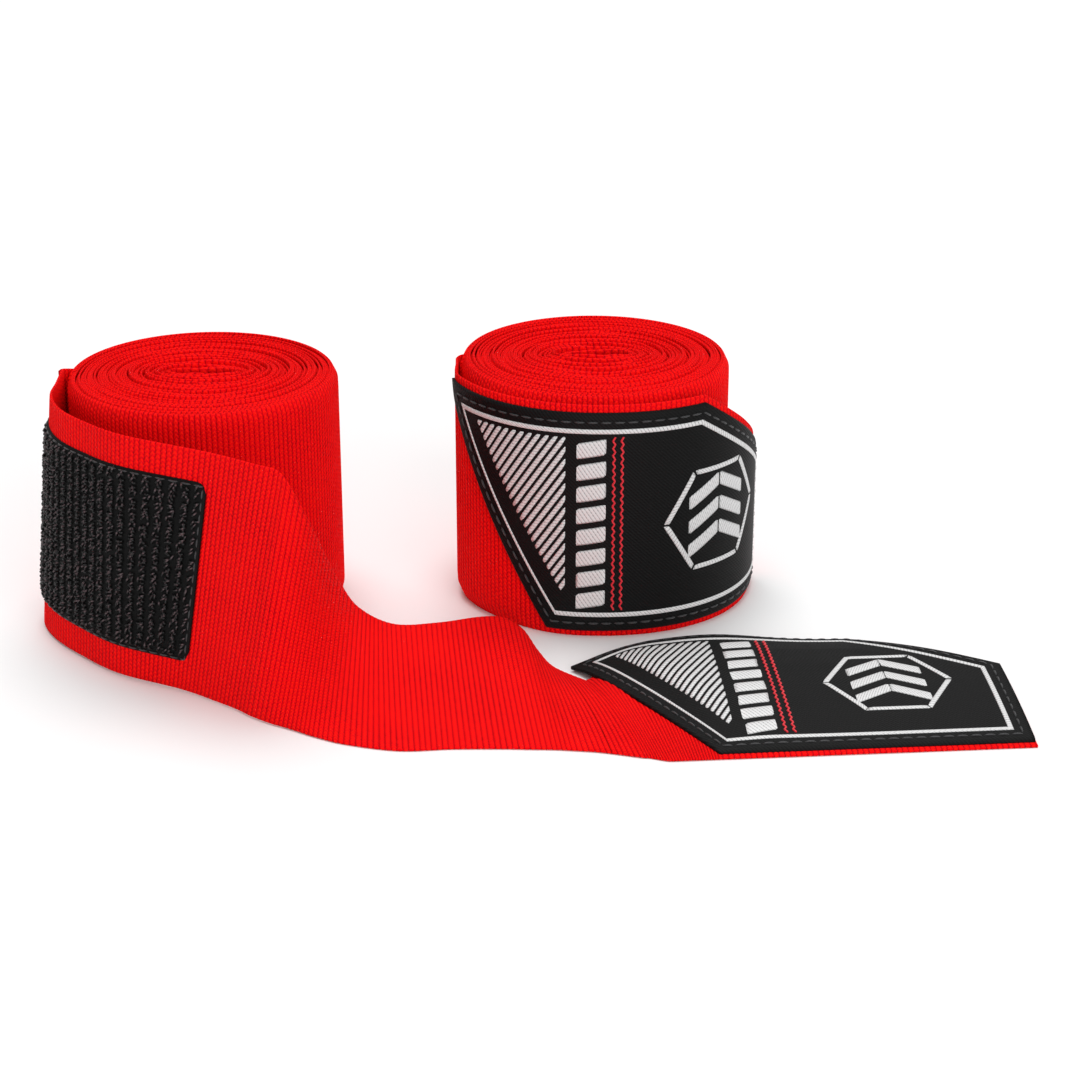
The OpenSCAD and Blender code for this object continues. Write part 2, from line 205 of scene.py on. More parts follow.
def ribbedKnit(name, deep, mid, lit):
    # Elastic warp knit of cotton and spandex: matt with a fine fuzz, round ribs with grooves between them,
    # and small beads where the loops stand up. The colour carries painted shade in the grooves and a
    # painted highlight on the beads. Ribs are |sin(pi along / pitch)|, and loops are (1 + sin) / 2 across
    # them, leaning to each rib's middle and half a loop on from rib to rib.
    m, tree, shader = newMaterial(name, Roughness=0.85, Specular_IOR_Level=0.08, Sheen_Weight=0.1,
                                  Sheen_Roughness=0.4, Sheen_Tint=linear("#FF3018"))
    uv, along, across = flatAxes(tree)
    ribs = add(tree, "Math", along, 1000 / strap["ribPitch"], operation="MULTIPLY")
    place = add(tree, "Math", ribs, operation="FRACT")
    fromMiddle = add(tree, "Math", place, 0.5, operation="SUBTRACT")
    lean = add(tree, "Math", fromMiddle, operation="ABSOLUTE")
    leaning = add(tree, "Math", lean, 1.1, operation="MULTIPLY")
    loops = add(tree, "Math", across, 1000 / strap["stitchPitch"], leaning, operation="MULTIPLY_ADD")
    ribIndex = add(tree, "Math", ribs, operation="FLOOR")
    loops = add(tree, "Math", ribIndex, 0.5, loops, operation="MULTIPLY_ADD")
    loopPhase = add(tree, "Math", loops, 2 * math.pi, operation="MULTIPLY")
    loopSine = add(tree, "Math", loopPhase, operation="SINE")
    loopWave = add(tree, "Math", loopSine, 0.5, 0.5, operation="MULTIPLY_ADD")
    fuzz = add(tree, "TexNoise", Vector=uv, Scale=2600.0, Detail=2.0, Roughness=0.7)  # about 0.4 mm
    broad = add(tree, "TexNoise", Vector=uv, Scale=60.0, Detail=3.0)                  # dye, about 17 mm
    knots = add(tree, "TexNoise", Vector=uv, Scale=800.0, Detail=1.0)                 # about 1.3 mm
    uneven = add(tree, "Math", knots, 0.6, 0.1, operation="MULTIPLY_ADD")
    beads = add(tree, "Math", loopWave, 0.62, uneven, operation="MULTIPLY_ADD")
    rounded = add(tree, "Math", wave(tree, ribs, math.pi), 0.7, operation="POWER")
    body = add(tree, "Math", rounded, beads, operation="MULTIPLY")
    height = add(tree, "Math", fuzz, 0.45, body, operation="MULTIPLY_ADD")
    # painted shade and highlight: the colour darkens in the grooves and lightens on the beads
    ribShadeAndHighlight = add(tree, "Math", body, 0.75, operation="MULTIPLY")
    tone = add(tree, "Math", fuzz, 0.5, ribShadeAndHighlight, operation="MULTIPLY_ADD")
    dye = add(tree, "Math", broad, 0.5, operation="SUBTRACT")
    tone = add(tree, "Math", dye, 0.25, tone, operation="MULTIPLY_ADD")
    intoShader(tree, shader, tone, [(0.12, deep), (0.5, mid), (0.95, lit)], height, 0.8, 0.0003)
    return m


def twill(name, deep, lit, threadMm, rough):
    # Tight polyester twill: dull black with fine diagonal lines, which carry a painted highlight where they
    # stand up. Lines are |sin(pi (along + across) / thread)|, over picks 1.4 times as fine.
    m, tree, shader = newMaterial(name, Roughness=rough, Specular_IOR_Level=0.14)
    uv, along, across = flatAxes(tree)
    diagonal = add(tree, "Math", along, across, operation="ADD")
    lines = wave(tree, diagonal, math.pi * 1000 / threadMm)
    picks = wave(tree, across, math.pi * 1400 / threadMm)
    fuzz = add(tree, "TexNoise", Vector=uv, Scale=3000.0, Detail=2.0)
    height = add(tree, "Math", picks, 0.4, lines, operation="MULTIPLY_ADD")
    # painted highlight: the colour lightens where the lines and picks stand up
    tone = add(tree, "Math", height, fuzz, operation="MULTIPLY")
    relief = add(tree, "Math", fuzz, 0.4, height, operation="MULTIPLY_ADD")
    intoShader(tree, shader, tone, [(0.15, deep), (0.9, lit)], relief, 0.5, 0.00012)
    return m


def satinThread(name, deep, lit, threadMm, rough, cross=0.0):
    # Lustrous polyester thread laid side by side: a soft shine, with painted shade in the fine gaps between
    # strands and a painted highlight along them. Strands are |sin(pi (along + 0.6 across) / thread)|, with
    # some of a coarser set that crosses them.
    m, tree, shader = newMaterial(name, Roughness=rough, Specular_IOR_Level=0.45, Sheen_Weight=0.15)
    uv, along, across = flatAxes(tree)
    slanted = add(tree, "Math", across, 0.6, along, operation="MULTIPLY_ADD")
    strands = wave(tree, slanted, math.pi * 1000 / threadMm)
    counter = add(tree, "Math", across, along, operation="SUBTRACT")
    crossing = wave(tree, counter, math.pi * 700 / threadMm)
    fuzz = add(tree, "TexNoise", Vector=uv, Scale=3500.0, Detail=2.0)
    height = add(tree, "Math", crossing, cross, strands, operation="MULTIPLY_ADD")
    # painted shade and highlight: the colour darkens in the gaps and lightens along the strands
    strandShadeAndHighlight = add(tree, "Math", height, 0.7, operation="MULTIPLY")
    tone = add(tree, "Math", fuzz, 0.5, strandShadeAndHighlight, operation="MULTIPLY_ADD")
    intoShader(tree, shader, tone, [(0.1, deep), (0.75, lit)], height, 0.4, 0.0001)
    return m


def nylon(name, deep, lit, glint):
    # Bent nylon filament: near black and smooth, with a painted glint, a paler band near its tip where the
    # bend catches light. The flat map's first axis is the share of the filament, and noise shifts the glint.
    m, tree, shader = newMaterial(name, Roughness=0.3, Specular_IOR_Level=0.35)
    uv, along, across = flatAxes(tree)
    bend = add(tree, "Math", along, 1000, operation="MULTIPLY")
    fuzz = add(tree, "TexNoise", Vector=uv, Scale=700.0, Detail=1.0)
    shift = add(tree, "Math", fuzz, 0.5, operation="SUBTRACT")
    # painted glint: the colour pales part way along each filament
    tone = add(tree, "Math", shift, 0.9, bend, operation="MULTIPLY_ADD")
    intoShader(tree, shader, tone, [(0.3, deep), (0.62, lit), (0.8, glint), (0.97, lit)])
    return m


# Twill and threads take their thread spacing fourth. The label's twill and its white thread are about
# 0.3 mm apart in a real one, and are drawn 0.8 and 0.75 mm apart so that they show.
# deep is painted shade in the grooves, mid the red itself, lit a painted highlight on the beads
redKnit = ribbedKnit("ribbed elastic knit, red", "#4A0005", "#E8000E", "#FF1409")
# the lighter colour is a painted highlight on the raised lines, the darker one the label's own black
blackTwill = twill("woven twill label, black", "#010101", "#111111", 0.8, 0.6)
# the white and red threads' darker colours are painted shade in their gaps, the black one's its own black,
# and every lighter colour is a painted highlight along the strands
whiteSatin = satinThread("satin thread, white", "#3E3E3F", "#D6D6D6", 0.75, 0.45, 0.25)
redThread = satinThread("zigzag thread, red", "#7A0412", "#E8142A", 0.4, 0.5)
blackThread = satinThread("lockstitch thread, black", "#070707", "#2E2E30", 0.3, 0.45)
# the first colour is the hooks' own black, and the third a painted glint
hookNylon = nylon("bent nylon hooks, black", "#010101", "#050505", "#5E4C4F")
# the lighter colour is a painted highlight on the raised lines, the darker one the tape's own black
tapeTwill = twill("woven nylon tape, black", "#020202", "#121212", 0.5, 0.7)
print("stage: materials ready")


def finishPiece(piece, body, node=None,
                bend=None):
    # attaches each piece to the body it rides on, or bakes its place into its mesh when bend is given, and
    # hides the part of the frame that it stands for.
    # bend's two bodies and two places, in metres, are not used; only whether it is given counts.
    if bend:
        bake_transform(piece)
    else:
        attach(piece, body)
    if node:
        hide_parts(node)
    return piece


# wound coils
coil = dict(gap=0.03,                          # air between turns
            coreRadius=3.4,                    # hollow left in the middle
            coreStretch=3.2, coreSqueeze=2.9,  # how much longer and narrower the core is pressed
            oval=0.8,                          # how much longer than wide the whole coil is
            roundHeight=3.0, roundLean=0.9,    # rounded top edge: how tall, and how far in it leans
            roundDrop=0.25,                    # how much lower the outer turns end
            footHeight=5, footLean=1.4,        # the same at the foot
            topHeight=8,                       # part of a turn that follows its uneven top
            station=1.25,                      # from station to station along the wound strap
            halfThick=0.22,                    # half of a wound turn, a little less than the strap
            outerThick=0.44,
            wobble=0.22,                       # how far turns stray in and out
            evenDrop=0.1, strayDrop=0.7,       # how low all turns sit, and how far they stray up and down
            bundleTurns=3.1, bundleGroove=0.8, grooveWidth=0.13)  # turns bunch, with a groove between
pitch = t + coil["gap"]


def coilRadius(loose):
    # the wound length times its pitch is the ring's end area, outside a hollow core
    return math.sqrt((strap["length"] - loose) * pitch / math.pi + coil["coreRadius"] ** 2)


openRadius = coilRadius(layout["looseTail"])
closedRadius = coilRadius(layout["looseFlap"])
closedX = openRadius + closedRadius + coil["oval"] + layout["rollSpace"]
closedAt = np.array([closedX, layout["setback"], 0.0])


def nearTop(z, height):
    # soft step from that height below the strap's top edge up to the edge
    return smooth((z - (w - height)) / height)


def nearFoot(z):
    # the same down to the foot
    return smooth((coil["footHeight"] - z) / coil["footHeight"])


def coilShape(theta, r, radius, z, out):
    # a spiral of even pitch: x is cos and y is sin of the angle times the radius, with the core
    # stretched in x and squeezed in y by its share f, and the outer turns leaning in at top and foot
    f = 1 - r / radius
    rx = r + coil["oval"] / 2 + coil["coreStretch"] * f
    ry = r - coil["coreSqueeze"] * f
    k = (r / radius) ** 2
    lean = coil["roundLean"] * k * nearTop(z, coil["roundHeight"]) ** 2
    lean = lean + coil["footLean"] * k ** 4 * nearFoot(z) ** 2
    return np.cos(theta) * (rx + out - lean), np.sin(theta) * (ry + out - lean)


def turnWave(theta, seed):
    # a slow wave along the winding: the sum of 14 sines of rising, slightly random frequency and random
    # phase, each divided by 1 + 0.25 n, and all by 3
    g = np.random.default_rng(seed)
    total = np.zeros_like(theta)
    for n in range(14):
        turning = theta * (0.07 + 0.19 * n) * g.uniform(0.8, 1.2)
        total += np.sin(turning + g.uniform(0, 6.28)) / (1 + 0.25 * n)
    return total / 3


def windCoil(name, radius, at, seed):
    # the strap's section carried along the spiral, whose radius grows by one pitch a turn and which ends
    # at the coil's far left; a turn's top drops more where the wave or a groove between bundles says so
    turns = math.floor((radius - coil["coreRadius"] - t) / pitch) - 1
    total = turns * 2 * math.pi
    rInner = radius - t / 2 - (turns + 1) * pitch
    dense = np.linspace(0, total, 40000)
    rr = rInner + pitch * dense / (2 * math.pi)
    length = np.concatenate([[0], np.cumsum((rr[1:] + rr[:-1]) / 2 * np.diff(dense))])
    ls = np.linspace(0, length[-1], int(length[-1] / coil["station"]))
    theta = np.interp(ls, length, dense)
    zz = np.array([0.25, 20, w - 6, w - 4.2, w - 2.8, w - 1.6, w - 0.7, w - 0.18])  # closer near the top
    across = np.concatenate([zz, [w], zz[::-1], [0]])
    side = np.concatenate([np.ones(len(zz)), [0], -np.ones(len(zz)), [0]])
    th, aa = np.meshgrid(theta, across, indexing="ij")
    ss = np.broadcast_to(side, th.shape)
    r = rInner + pitch * th / (2 * math.pi)
    wobble = turnWave(th, seed) * coil["wobble"] * smooth((total - th) / 6)
    x, y = coilShape(th - total + math.pi, r + wobble * 0.6, radius, aa, ss * coil["halfThick"])
    k = (r / radius) ** 3
    bundle = th / (2 * math.pi) / coil["bundleTurns"] + 0.25 * np.sin(th * 0.11 + seed)
    groove = np.exp(-((bundle - np.floor(bundle) - 0.5) / coil["grooveWidth"]) ** 2)
    stray = coil["strayDrop"] * (1 - 0.8 * k) * turnWave(th * 1.7, seed + 1)
    drop = coil["roundDrop"] * k + coil["evenDrop"] + stray + coil["bundleGroove"] * groove
    z = aa - np.maximum(drop, -0.5) * nearTop(aa, coil["topHeight"])
    pts = np.stack([x, y, z], -1) + at
    uv = np.stack([np.broadcast_to(ls[:, None], th.shape), aa], -1)
    return buildPiece(name, pts[None], uv[None], redKnit), length[-1]


def outerTurn(name, radius, at):
    # the last full turn, with its ribs modelled: the spiral's radius grows by one pitch round it
    turnLength = 2 * math.pi * (radius - pitch / 2)

    def surface(ll, aa, out):
        th = ll / turnLength * 2 * math.pi
        r = radius - t / 2 - pitch + pitch * th / (2 * math.pi)
        x, y = coilShape(th + math.pi, r, radius, aa, out)
        z = aa - (coil["roundDrop"] * (r / radius) ** 3 + coil["evenDrop"]) * nearTop(aa, coil["topHeight"])
        return np.stack([x, y, z], -1) + at

    lengths = np.arange(0, turnLength, ribStep)
    return sweepStrap(name, surface, lengths, loopSection(22, 5), coil["outerThick"])


thumbTape = dict(width=20, halfLong=4.6, halfWide=0.34, halfThick=0.13)


def thumbLoop(name, at):
    # narrow tape folded flat inside the core: an ellipse, x = long cos and y = wide sin, drawn upwards
    q = np.linspace(0, 2 * math.pi, 96, endpoint=False)
    zz = (w - thumbTape["width"]) / 2 + np.linspace(0, thumbTape["width"], 9)
    across = np.concatenate([zz, zz[::-1]])
    out = np.concatenate([np.ones(9), -np.ones(9)]) * thumbTape["halfThick"]
    th, aa = np.meshgrid(q, across, indexing="ij")
    x = np.cos(th) * (thumbTape["halfLong"] + out)
    y = np.sin(th) * (thumbTape["halfWide"] + out)
    pts = np.stack([x, y, aa], -1) + at
    return buildPiece(name, pts[None], np.stack([th * 4, aa], -1)[None], tapeTwill, closeAlong=True)


# each wrap's radius, place and seed for its uneven turns
wraps = {"open": (openRadius, np.zeros(3), 11), "closed": (closedRadius, closedAt, 23)}
for which, (radius, at, seed) in wraps.items():
    body = which + "_wrap"
    inner, wound = windCoil(which + "WoundStrap", radius, at, seed)
    turn = outerTurn(which + "OuterTurn", radius, at)
    loop = thumbLoop(which + "ThumbLoop", at)
    finishPiece(inner, body, which + "_coil")
    finishPiece(turn, body, None)
    finishPiece(loop, body, which + "_thumb_loop")
print("stage: coils wound")

# the loose strap of the unrolled wrap
tail = dict(arch=2.2, archFrom=17,       # low arch across the strap, and the row where it begins
            onCoil=34.0,                 # how far the strap's back end lies on the coil
            sink=2.4, sinkOver=9,        # it merges into the coil over this length
            topDrop=1.5, dropOver=7,     # its top comes down to the coil's uneven top
            seam=150)                    # where the piece beneath the label takes over
# each row: the strap's foot (x, y), and from there to its far edge (x, y, z), for a coil of radius 27.3
route = np.array([
    [-29.1, -0.3, 0.6, 0, 50.8], [-33, -6.4, 4.6, -0.6, 50.5], [-33.4, -13.2, 5.2, -1.4, 50.5],
    [-29.8, -21, 4.6, -1.6, 50.5], [-23.6, -28.5, 4.2, -1.4, 50.5], [-14.5, -37.1, 4.2, -1.3, 50.7],
    [-1.2, -44.3, 7.6, -1.7, 50.2], [7, -50.2, 9.1, -1.4, 49.9], [10.8, -53.2, 9.6, -0.4, 49.4],
    [13.7, -56, 9.1, 1.6, 46.4], [17.4, -58.8, 7.7, 8.4, 39.1], [21.5, -61.2, 5, 20.1, 29.6],
    [26.7, -64.6, 1.6, 36.2, 17.2], [32.9, -67.6, -1.2, 46.6, 7.2], [42.7, -70, -3.8, 48.7, 3.4],
    [52.2, -69.3, -4.1, 48.4, 3.5], [61.6, -69.2, -5.1, 49.8, 4.1], [66.9, -69.4, -5.6, 49.4, 4.2],
    [71, -69.5, -5.9, 45.7, 3.5], [75, -69.9, -6.9, 39, 2.1], [80.4, -70.7, -9.1, 34.4, 0.9],
    [88, -72.8, -10.4, 31.5, 0.3]])
routeLast = len(route) - 1
route[:, :2] *= openRadius / 27.3


def routeAt(u):
    # smooth curve through the route's rows: the Catmull-Rom cubic of the four rows round u
    i = np.clip(np.floor(u).astype(int), 0, routeLast - 1)
    f = (u - i)[..., None]
    a, b = route[np.maximum(i - 1, 0)], route[i]
    c, d = route[i + 1], route[np.minimum(i + 2, routeLast)]
    square, cube = 2 * a - 5 * b + 4 * c - d, 3 * b - a - 3 * c + d
    return 0.5 * (2 * b + (c - a) * f + square * f ** 2 + cube * f ** 3)


def strapMid(u, s):
    # straight from foot to far edge, plus the arch times 4 s (1 - s) where the strap narrows
    r = routeAt(u)
    x = r[..., 0] + r[..., 2] * s
    y = r[..., 1] + r[..., 3] * s
    z = r[..., 4] * s + t / 2 + tail["arch"] * smooth((u - tail["archFrom"]) / 3) * 4 * s * (1 - s)
    return np.stack([x, y, z], -1)


routeU = np.linspace(0, routeLast, 2000)
routeStep = np.linalg.norm(np.diff(strapMid(routeU, np.full(2000, 0.35)), axis=0), axis=1)
routeLength = np.concatenate([[0], np.cumsum(routeStep)])
tailEnd = routeLength[-1]


def openSurface(length, across, out):
    # the route's surface plus out times its normal, the cross product of its two slopes; before the
    # route starts the strap lies round the back of the coil, where it merges into it
    u = np.interp(np.clip(length, 0, tailEnd), routeLength, routeU)
    s = across / w
    e = 0.01
    du = strapMid(np.minimum(u + e, routeLast), s) - strapMid(np.maximum(u - e, 0), s)
    ds = strapMid(u, s + e) - strapMid(u, s - e)
    n = np.cross(du, ds)
    n /= np.linalg.norm(n, axis=-1, keepdims=True)
    p = strapMid(u, s) + n * out[..., None]
    back = -np.minimum(length, 0)
    start = -route[0, 0]
    lean = coil["roundLean"] * nearTop(across, coil["roundHeight"]) ** 2
    lean = lean + coil["footLean"] * nearFoot(across) ** 2
    r = start - tail["sink"] * smooth(back / tail["sinkOver"]) + out - lean * smooth(back / 8)
    angle = back / start
    z = across - tail["topDrop"] * nearTop(across, coil["topHeight"]) * smooth(back / tail["dropOver"])
    onCoil = np.stack([-np.cos(angle) * r, route[0, 1] + np.sin(angle) * r, z], -1)
    return np.where((length < 0)[..., None], onCoil, p)


seamLength = round(tail["seam"] / strap["ribPitch"]) * strap["ribPitch"]
tailLengths = np.arange(-tail["onCoil"], seamLength + 0.01, ribStep)
tailStrap = sweepStrap("openTail", openSurface, tailLengths, loopSection(30, 18))
finishPiece(tailStrap, "open_tail", "open_tail_strap",
            bend=("open_wrap", "open_tail", (-0.029, 0.004, 0.025), (-0.029, -0.006, 0.025)))
print("stage: tail laid, seam at", seamLength, "of", tailEnd)

# the label's place on the table, and the strap beneath it
label = dict(length=86.5, slant=27.0,           # the slanted end takes the first 27 of its length
             cutStart=59.4, cutDepth=18.5,      # where the cut corner begins, and how much it takes off
             thick=0.6, margin=1.3, topGap=2.3,  # strap that shows below the label and above it
             inset=3.3, line=1.0, thinLine=0.5,  # the border line's place and widths
             heading=4.7, foot=(13.9, 0.7))      # its turn on the table, its corner from the strap's
bow = dict(peak=31, spread=15,                  # the strap bows up most here along the label
           middle=2.6, middleMore=0.9,          # height at 0.7 of its width, and more at the peak
           edge=0.3, edgeMore=2.2,              # the same at the far edge
           slantFade=12, tipFade=10)            # how soon it comes down at the slanted edge and the tip
tipPull = dict(along=3, over=8, reach=20, power=1.6)  # the tip is drawn in where the strap narrows
beneath = dict(upperSwing=14, lowerSwing=10,    # lengths over which its edges swing round to the label
               settle=9,                        # and over which it comes down to the table
               lift=0.02, lowest=0.03,          # clear of the table
               ribsEnd=38, ribsFade=6, ribsHidden=0.9)  # its ribs fade out beneath the label

labelW = w - label["margin"] - label["topGap"]
slantLen = math.hypot(label["slant"], labelW)
cutLen = math.hypot(label["length"] - label["cutStart"], label["cutDepth"])
cutSlope = label["cutDepth"] / (label["length"] - label["cutStart"])
heading = math.radians(label["heading"])
endFoot = np.array([route[-1, 0], route[-1, 1], 0.0]) + [*label["foot"], 0]
endU = np.array([math.cos(heading), math.sin(heading), 0])
endV = np.array([-math.sin(heading), math.cos(heading), 0])


def crown(u, v):
    # how far the sewn end bows up: a parabola from the near edge to 0.7 of the width and another from
    # there to the far edge, both higher in a bell along the label, and low at the slanted edge and tip
    q = v / labelW
    bell = np.exp(-((u - bow["peak"]) / bow["spread"]) ** 2)
    middle, farEdge = bow["middle"] + bow["middleMore"] * bell, bow["edge"] + bow["edgeMore"] * bell
    rise = np.where(q < 0.7, middle * (1 - (1 - q / 0.7) ** 2),
                    middle + (farEdge - middle) * (np.abs(q - 0.7) / 0.3) ** 2)
    fromSlant = (u / label["slant"] + q - 1) * label["slant"] * labelW / slantLen
    nearSlant = 0.3 + 0.7 * smooth(fromSlant / bow["slantFade"])
    return rise * nearSlant * smooth(np.hypot(u, labelW - v) / bow["tipFade"] + 0.1)


def endPlan(u, v):
    # the tip drawn in: the share g falls from 1 to 0 within the reach and grows across the width
    g = np.maximum(0, 1 - np.maximum(0, u) / tipPull["reach"]) ** tipPull["power"] * v / labelW
    return u - label["slant"] + tipPull["along"] * g, v * 0.98 - tipPull["over"] * g


def endPoint(u, v, z):
    # from the label's own flat coordinates to its place on the table, bowed up
    along, over = endPlan(u, v)
    up = z + np.maximum(crown(u, np.clip(v, 0, labelW)), 0)
    return endFoot + along[..., None] * endU + over[..., None] * endV + np.stack([0 * z, 0 * z, up], -1)


def cutLine(u):
    # upper limit of the label: its width, less the corner's slope past the place where it begins
    past = np.maximum(0, u - label["cutStart"])
    return labelW - past * label["cutDepth"] / (label["length"] - label["cutStart"])


def toLabel(point):
    # a place on the table in the label's own flat coordinates, found by stepping towards it
    d = np.array([point[0], point[1], 0.0]) - endFoot
    u, v = d @ endU + label["slant"], d @ endV
    for _ in range(30):
        along, over = endPlan(u, v)
        u, v = u + (d @ endU - along) * 0.7, v + (d @ endV - over) * 0.7
    return u, v


tailNear = toLabel(route[-1, :2])
tailFar = toLabel(route[-1, :2] + route[-1, 2:4])


def endStrapSurface(q, across, out):
    # q runs along the strap from the seam. Before tailEnd it is the tail's own surface, and after it
    # the rulings swing round to the label's slanted side and end at the label's outline.
    s = across / w
    p = q - tailEnd
    f = np.clip(p / label["slant"], 0, 1)
    near = np.where(p < label["slant"], tailNear[0] + (label["slant"] - tailNear[0]) * f, p)
    far = np.where(p < label["slant"], tailFar[0] + (label["slant"] - tailFar[0]) * f, p)
    high = np.maximum(cutLine(far) + 0.3, 1.0)
    high = tailFar[1] + (high - tailFar[1]) * smooth(p / beneath["upperSwing"])
    low = tailNear[1] + (-label["margin"] - tailNear[1]) * smooth(p / beneath["lowerSwing"])
    u, v = near + (far - near) * s, low + (high - low) * s
    onTail = openSurface(np.minimum(q, tailEnd), across, out)
    end = endPoint(u, v, t / 2 + beneath["lift"] + out)
    end[..., 2] = onTail[..., 2] + (end[..., 2] - onTail[..., 2]) * smooth(p / beneath["settle"])
    pts = np.where((p < 0)[..., None], onTail, end)
    pts[..., 2] = np.maximum(pts[..., 2], beneath["lowest"])
    return pts


def endRibShare(length, side):
    # ribs only on the upper face, and a tenth of their depth beneath the label
    under = smooth((length - tailEnd - beneath["ribsEnd"]) / beneath["ribsFade"])
    return (1 - beneath["ribsHidden"] * under) * (side > 0)


endLengths = np.arange(seamLength, tailEnd + 0.3 + label["length"], ribStep)
endStrap = sweepStrap("openLabelStrap", endStrapSurface, endLengths, loopSection(26, 8), ribShare=endRibShare)
finishPiece(endStrap, "open_label_end", "open_end_strap",
            bend=("open_tail", "open_label_end", (0.0775, -0.0595, 0.0), (0.0885, -0.0559, 0.0)))

# the closed roll's flap
hookPatch = dict(length=58.0, width=38.1, backing=0.5, height=1.1, corner=2.2)
flap = dict(tip=9.1,                      # from the roll's left side to the label's tip
            hooksAfter=7,                 # from there to the hook patch beneath it
            gap=0.4,                      # between the coil and the flap
            standOff=2.7, standFrom=85, standOver=75,  # it stands off at its free end, by angle
            hookFrom=4, hookOver=20,      # where it climbs over the hooks, by angle
            onCoil=34.0, sink=1.2,        # how far its back end lies on the coil, and merges into it
            ribsEnd=46,                   # its ribs fade out beneath the label
            thick=0.44)
hookStart = flap["tip"] + flap["hooksAfter"]


def flapAngle(length):
    # the angle round the coil is length / radius, with a larger radius past the first 40
    perLength = 180 / (math.pi * (closedRadius + 3.1))
    first = 180 / (math.pi * (closedRadius + 1.6))
    return np.where(length <= 40, length * first, 40 * first + (length - 40) * perLength)


def flapSurface(length, z, out):
    # the coil's radius, plus a soft step up over the hooks, plus a soft step off at the free end
    a = flapAngle(length)
    over = hookPatch["backing"] + hookPatch["height"] + 0.1
    r = closedRadius + flap["gap"] + t / 2 + over * smooth((a - flap["hookFrom"]) / flap["hookOver"])
    r = r + flap["standOff"] * smooth((a - flap["standFrom"]) / flap["standOver"]) + out
    r = r - coil["footLean"] * nearFoot(z) ** 2 * (1 - smooth((a - 40) / 40))
    a = np.radians(a)
    return np.stack([-np.cos(a) * (r + coil["oval"] / 2), -np.sin(a) * r, z + 0 * r], -1) + closedAt


def flapStrapSurface(length, across, out):
    # the flap's surface cut to the label's outline, and before it starts a circle round the back of the
    # coil that leans in at top and foot and merges into the coil
    outline = label["margin"] + cutLine(np.maximum(length - flap["tip"], 0))
    high = np.minimum(w, outline + label["margin"] * cutLen / (label["length"] - label["cutStart"]))
    z = across / w * high
    front = flapSurface(np.maximum(length, 0), z, out)
    angle = -np.minimum(length, 0) / closedRadius
    r = closedRadius + flap["gap"] + t / 2 + out - flap["sink"] * smooth(-length / 7)
    lean = coil["roundLean"] * nearTop(z, coil["roundHeight"]) ** 2 * smooth(-length / 8 + 0.3)
    r = r - (lean + coil["footLean"] * nearFoot(z) ** 2)
    back = np.stack([-np.cos(angle) * (r + coil["oval"] / 2), np.sin(angle) * r, z], -1) + closedAt
    pts = np.where((length < 0)[..., None], back, front)
    nearRoot = 1 - smooth((length + 4) / 14)
    pts[..., 2] -= nearTop(z, coil["topHeight"]) * (coil["roundDrop"] * nearRoot + smooth(-length / 7))
    return pts


def flapRibShare(length, side):
    # a tenth of the ribs' depth beneath the label
    return 1 - beneath["ribsHidden"] * smooth((length - flap["ribsEnd"]) / beneath["ribsFade"])


flapEnd = flap["tip"] + label["length"] + label["margin"]
flapLengths = np.arange(-flap["onCoil"], flapEnd, ribStep)
flapStrap = sweepStrap("closedFlapStrap", flapStrapSurface, flapLengths, loopSection(26, 8),
                       flap["thick"], flapRibShare)
flapX = (closedAt[0] - closedRadius - coil["oval"] / 2) / 1000
finishPiece(flapStrap, "closed_flap", "closed_flap_strap",
            bend=("closed_wrap", "closed_flap", (flapX, 0.014, 0.025), (flapX + 0.004, 0.0075, 0.025)))
print("stage: straps done")


# labels
def onOpen(u, v, n):
    # a place on the flat label, and n above its strap, on the table
    return endPoint(u, v, t + 0.08 + n)


def onClosed(u, v, n):
    # the same round the closed roll
    return flapSurface(flap["tip"] + u, label["margin"] + v, t / 2 + 0.05 + n)


def corners(i, iSlant):
    # the label's five corners pulled in by i, and by iSlant at its slanted edge: where two inset edges
    # meet, from the similar triangles of the slant and of the cut corner
    lowU = (labelW - i) * label["slant"] / labelW + iSlant * slantLen / labelW
    tipU = i * label["slant"] / labelW + iSlant * slantLen / labelW
    end = label["length"] - i
    cutU = label["cutStart"] - i * (math.hypot(1, cutSlope) - 1) / cutSlope
    cutV = labelW - (end - label["cutStart"]) * cutSlope - i * math.hypot(1, cutSlope)
    return np.array([[tipU, labelW - i], [lowU, i], [end, i], [end, cutV], [cutU, labelW - i]])


def outlineRing(i, iSlant):
    # points along the five sides of the inset outline, about 1 apart
    c = corners(i, iSlant)
    counts = (56, 66, 22, 40, 64)
    return np.concatenate([c[j] + (c[(j + 1) % 5] - c[j]) * (np.arange(n) / n)[:, None]
                           for j, n in enumerate(counts)])


def labelPlate(name, place):
    # plate over the outline: each station runs from its lower to its upper limit, rounded at both hems
    u = np.concatenate([np.linspace(0.05, label["slant"], 40),
                        np.linspace(label["slant"], label["cutStart"], 40)[1:],
                        np.linspace(label["cutStart"], label["length"], 30)[1:]])
    lo = np.maximum(0, labelW - u * labelW / label["slant"])
    hi = np.maximum(cutLine(u), lo + 0.1)
    q = np.array([0.0, 0.012, 0.03, 0.06, 0.1, 0.2, 0.35, 0.5, 0.65, 0.8, 0.9, 0.94, 0.97, 0.988, 1.0])
    hem = np.concatenate([[0.25, 0.8], np.ones(11), [0.8, 0.25]])
    across = np.concatenate([q, q[::-1]])
    n = np.concatenate([hem * label["thick"], 0 * hem])
    vv = lo[:, None] + (hi - lo)[:, None] * across[None, :]
    uu = np.broadcast_to(u[:, None], vv.shape)
    pts = place(uu, vv, np.broadcast_to(n[None, :], vv.shape))
    return buildPiece(name, pts[None], np.stack([uu, vv], -1)[None], blackTwill)


